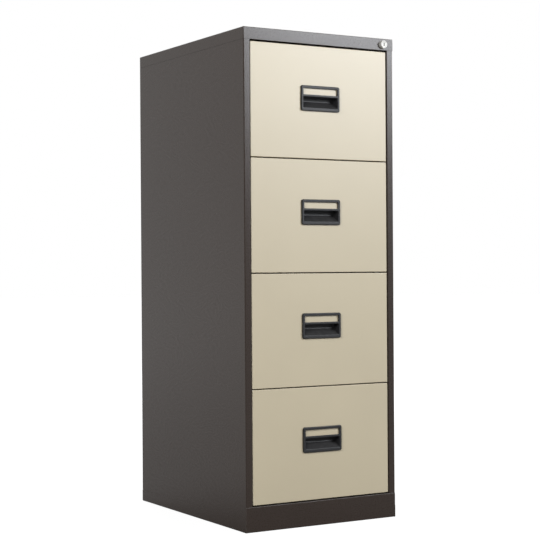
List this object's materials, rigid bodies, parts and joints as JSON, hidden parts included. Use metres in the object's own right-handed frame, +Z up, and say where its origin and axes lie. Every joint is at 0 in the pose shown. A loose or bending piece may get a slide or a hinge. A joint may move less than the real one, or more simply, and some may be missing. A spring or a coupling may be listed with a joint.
{
  "type": "filing cabinet",
  "caption": "Upright filing cabinet of folded sheet steel with full-extension drawers on telescopic runners, moulded recessed handles and a push lock that bars every drawer.",
  "frame": {"origin": "centre of the floor area under the cabinet, on the floor", "axes": "+X towards the lock's side, +Y to the back, +Z up; the drawers open towards -Y"},
  "size_m": [0.467, 0.6285, 1.3],
  "materials": {
    "coffee_steel": "semi-gloss brown-grey powder coat with fine orange peel",
    "cream_steel": "semi-gloss cream powder coat with fine orange peel",
    "black_plastic": "moulded black plastic with a satin grain",
    "zinc_steel": "bright zinc plate",
    "chrome": "polished nickel-chrome plate"
  },
  "bodies": {
    "cabinet": {"top_cap": "coffee_steel", "left_side_panel": "coffee_steel", "right_side_panel": "coffee_steel", "back_panel": "coffee_steel", "base_plinth": "coffee_steel", "front_left_upright": "zinc_steel", "front_right_upright": "zinc_steel", "rear_left_upright": "zinc_steel", "rear_right_upright": "zinc_steel", "lock_housing": "chrome", "lock_clip": "zinc_steel", "crank_bracket": "zinc_steel", "crank_pin": "zinc_steel", "lock_bar_guides": "zinc_steel", "drawer_1_cabinet_runners": "zinc_steel", "drawer_2_cabinet_runners": "zinc_steel", "drawer_3_cabinet_runners": "zinc_steel", "drawer_4_cabinet_runners": "zinc_steel"},
    "lock_barrel": {"lock_barrel": "chrome"},
    "lock_plug": {"lock_plug": "chrome"},
    "lock_crank": {"lock_crank": "zinc_steel"},
    "lock_bar": {"lock_bar": "zinc_steel", "lock_hooks": "zinc_steel"},
    "drawer_1": {"drawer_1_front": "cream_steel", "drawer_1_inner_front": "coffee_steel", "drawer_1_tray": "coffee_steel", "drawer_1_handle": "black_plastic", "drawer_1_lock_catch": "zinc_steel", "drawer_1_drawer_runners": "zinc_steel"},
    "drawer_1_middle": {"drawer_1_middle_runners": "zinc_steel"},
    "drawer_2": {"drawer_2_front": "cream_steel", "drawer_2_inner_front": "coffee_steel", "drawer_2_tray": "coffee_steel", "drawer_2_handle": "black_plastic", "drawer_2_lock_catch": "zinc_steel", "drawer_2_drawer_runners": "zinc_steel"},
    "drawer_2_middle": {"drawer_2_middle_runners": "zinc_steel"},
    "drawer_3": {"drawer_3_front": "cream_steel", "drawer_3_inner_front": "coffee_steel", "drawer_3_tray": "coffee_steel", "drawer_3_handle": "black_plastic", "drawer_3_lock_catch": "zinc_steel", "drawer_3_drawer_runners": "zinc_steel"},
    "drawer_3_middle": {"drawer_3_middle_runners": "zinc_steel"},
    "drawer_4": {"drawer_4_front": "cream_steel", "drawer_4_inner_front": "coffee_steel", "drawer_4_tray": "coffee_steel", "drawer_4_handle": "black_plastic", "drawer_4_lock_catch": "zinc_steel", "drawer_4_drawer_runners": "zinc_steel"},
    "drawer_4_middle": {"drawer_4_middle_runners": "zinc_steel"}
  },
  "joints": [
    {"name": "drawer_1_slide", "type": "slide", "parent": "cabinet", "child": "drawer_1", "axis": [0, -1, 0], "range_m": [0, 0.54]},
    {"name": "drawer_1_middle_slide", "type": "slide", "parent": "cabinet", "child": "drawer_1_middle", "axis": [0, -1, 0], "range_m": [0, 0.27]},
    {"name": "drawer_2_slide", "type": "slide", "parent": "cabinet", "child": "drawer_2", "axis": [0, -1, 0], "range_m": [0, 0.54]},
    {"name": "drawer_2_middle_slide", "type": "slide", "parent": "cabinet", "child": "drawer_2_middle", "axis": [0, -1, 0], "range_m": [0, 0.27]},
    {"name": "drawer_3_slide", "type": "slide", "parent": "cabinet", "child": "drawer_3", "axis": [0, -1, 0], "range_m": [0, 0.54]},
    {"name": "drawer_3_middle_slide", "type": "slide", "parent": "cabinet", "child": "drawer_3_middle", "axis": [0, -1, 0], "range_m": [0, 0.27]},
    {"name": "drawer_4_slide", "type": "slide", "parent": "cabinet", "child": "drawer_4", "axis": [0, -1, 0], "range_m": [0, 0.54]},
    {"name": "drawer_4_middle_slide", "type": "slide", "parent": "cabinet", "child": "drawer_4_middle", "axis": [0, -1, 0], "range_m": [0, 0.27]},
    {"name": "lock_push", "type": "slide", "parent": "cabinet", "child": "lock_barrel", "axis": [0, 1, 0], "range_m": [0, 0.007]},
    {"name": "key_turn", "type": "hinge", "parent": "lock_barrel", "child": "lock_plug", "pos_m": [0.1998, -0.31, 1.2838], "axis": [0, 1, 0], "range_deg": [0, 90]},
    {"name": "crank_swing", "type": "hinge", "parent": "cabinet", "child": "lock_crank", "pos_m": [0.1998, -0.262, 1.2618], "axis": [-1, 0, 0], "range_deg": [0, 18.7]},
    {"name": "lock_bar_lift", "type": "slide", "parent": "cabinet", "child": "lock_bar", "axis": [0, 0, 1], "range_m": [0, 0.0074]}
  ],
  "couplings": [
    {"joint": "drawer_1_middle_slide", "follows": "drawer_1_slide", "ratio": 0.5},
    {"joint": "drawer_2_middle_slide", "follows": "drawer_2_slide", "ratio": 0.5},
    {"joint": "drawer_3_middle_slide", "follows": "drawer_3_slide", "ratio": 0.5},
    {"joint": "drawer_4_middle_slide", "follows": "drawer_4_slide", "ratio": 0.5},
    {"joint": "crank_swing", "follows": "lock_push", "rad_per_m": 46.512},
    {"joint": "lock_bar_lift", "follows": "lock_push", "ratio": 1.057}
  ]
}
